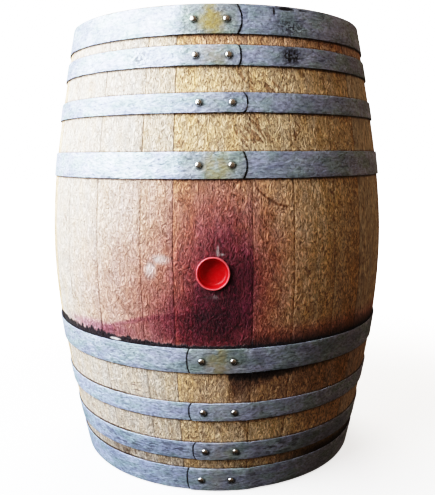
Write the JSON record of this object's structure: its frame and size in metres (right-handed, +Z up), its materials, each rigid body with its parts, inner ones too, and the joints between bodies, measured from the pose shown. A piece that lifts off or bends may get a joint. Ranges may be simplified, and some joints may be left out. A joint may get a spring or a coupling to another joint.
{
  "type": "wine barrel",
  "caption": "Upright oak wine barrel of riveted steel hoops, tapered staves and boarded heads, with a silicone bung that pulls out of its side.",
  "frame": {"origin": "on the floor, at the centre of the ring of lower stave ends that the barrel stands on", "axes": "+Z up along the barrel's axis; -Y from the axis towards the bung; +X to the right of somebody who faces the bung"},
  "size_m": [0.71, 0.714, 0.88],
  "materials": {
    "oak_stave": "planed oak, weathered, with wine stains round the bung",
    "oak_head": "planed oak boards, bare and dry",
    "galvanised_steel": "dull galvanised strip, mottled blue-grey with ochre rust bloom at the laps",
    "rivet_steel": "plated steel rivet, worn bright on its dome",
    "red_silicone": "smooth translucent red silicone, satin"
  },
  "bodies": {
    "barrel": {"bung_stave": "oak_stave", "stave_01": "oak_stave", "stave_02": "oak_stave", "stave_03": "oak_stave", "stave_04": "oak_stave", "stave_05": "oak_stave", "stave_06": "oak_stave", "stave_07": "oak_stave", "stave_08": "oak_stave", "stave_09": "oak_stave", "stave_10": "oak_stave", "stave_11": "oak_stave", "stave_12": "oak_stave", "stave_13": "oak_stave", "stave_14": "oak_stave", "stave_15": "oak_stave", "stave_16": "oak_stave", "stave_17": "oak_stave", "stave_18": "oak_stave", "stave_19": "oak_stave", "stave_20": "oak_stave", "stave_21": "oak_stave", "stave_22": "oak_stave", "stave_23": "oak_stave", "stave_24": "oak_stave", "top_head_board_1": "oak_head", "top_head_board_2": "oak_head", "top_head_board_3": "oak_head", "top_head_board_4": "oak_head", "top_head_board_5": "oak_head", "bottom_head_board_1": "oak_head", "bottom_head_board_2": "oak_head", "bottom_head_board_3": "oak_head", "bottom_head_board_4": "oak_head", "bottom_head_board_5": "oak_head", "top_chime_hoop": "galvanised_steel", "top_outer_quarter_hoop": "galvanised_steel", "top_inner_quarter_hoop": "galvanised_steel", "top_bilge_hoop": "galvanised_steel", "bottom_chime_hoop": "galvanised_steel", "bottom_outer_quarter_hoop": "galvanised_steel", "bottom_inner_quarter_hoop": "galvanised_steel", "bottom_bilge_hoop": "galvanised_steel", "top_chime_rivet_left": "rivet_steel", "top_chime_rivet_right": "rivet_steel", "top_outer_quarter_rivet_left": "rivet_steel", "top_outer_quarter_rivet_right": "rivet_steel", "top_inner_quarter_rivet_left": "rivet_steel", "top_inner_quarter_rivet_right": "rivet_steel", "top_bilge_rivet_left": "rivet_steel", "top_bilge_rivet_right": "rivet_steel", "bottom_chime_rivet_left": "rivet_steel", "bottom_chime_rivet_right": "rivet_steel", "bottom_outer_quarter_rivet_left": "rivet_steel", "bottom_outer_quarter_rivet_right": "rivet_steel", "bottom_inner_quarter_rivet_left": "rivet_steel", "bottom_inner_quarter_rivet_right": "rivet_steel", "bottom_bilge_rivet_left": "rivet_steel", "bottom_bilge_rivet_right": "rivet_steel"},
    "bung": {"bung": "red_silicone"}
  },
  "joints": [
    {"name": "bung_pull", "type": "slide", "parent": "barrel", "child": "bung", "axis": [0, -1, 0], "range_m": [0, 0.12]}
  ]
}
